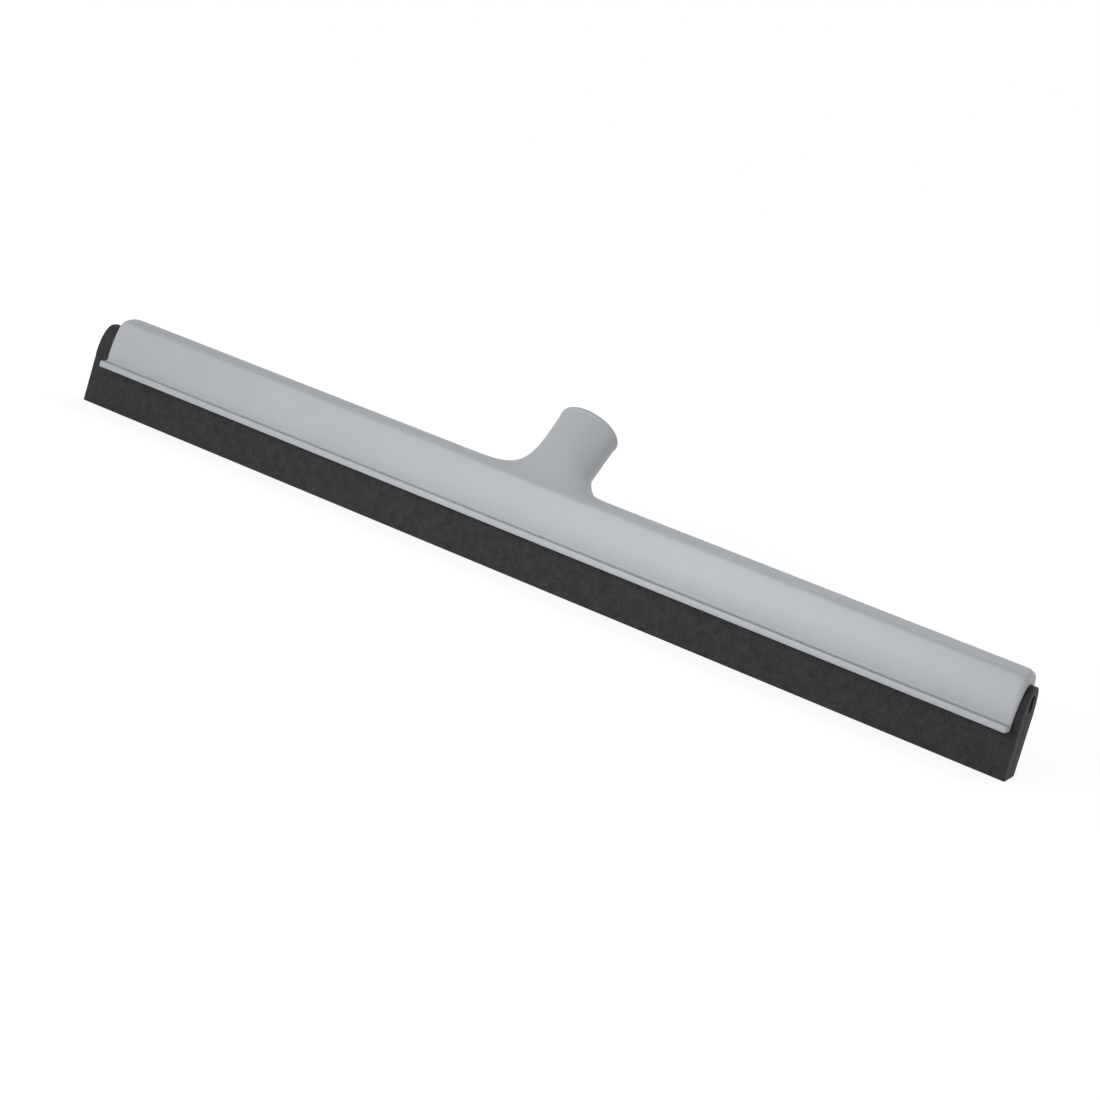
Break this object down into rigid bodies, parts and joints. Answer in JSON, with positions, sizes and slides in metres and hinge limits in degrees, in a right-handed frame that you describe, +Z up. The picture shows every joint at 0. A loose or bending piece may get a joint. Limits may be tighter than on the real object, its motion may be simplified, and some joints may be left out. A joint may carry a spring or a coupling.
{
  "type": "floor squeegee head",
  "caption": "Floor squeegee head: a moulded body with a leaning handle socket, holding a slide-out refill of folded foam rubber that wipes water off floors.",
  "frame": {"origin": "on the floor, at the middle of the blade's floor edge, under the middle of the head", "axes": "+X along the blade, +Y to the back, the way the socket leans, +Z up from the floor"},
  "size_m": [0.55, 0.0722, 0.0881],
  "materials": {
    "head_plastic": "satin moulded polypropylene, cool mid grey",
    "foam_rubber": "matt fine-celled black foam rubber",
    "core_plastic": "plain extruded plastic, undyed"
  },
  "bodies": {
    "head_body": {"head": "head_plastic"},
    "refill": {"foam_blade": "foam_rubber", "core_strip": "core_plastic"}
  },
  "joints": [
    {"name": "refill_slide", "type": "slide", "parent": "head_body", "child": "refill", "axis": [1, 0, 0], "range_m": [-0.55, 0.55]}
  ]
}
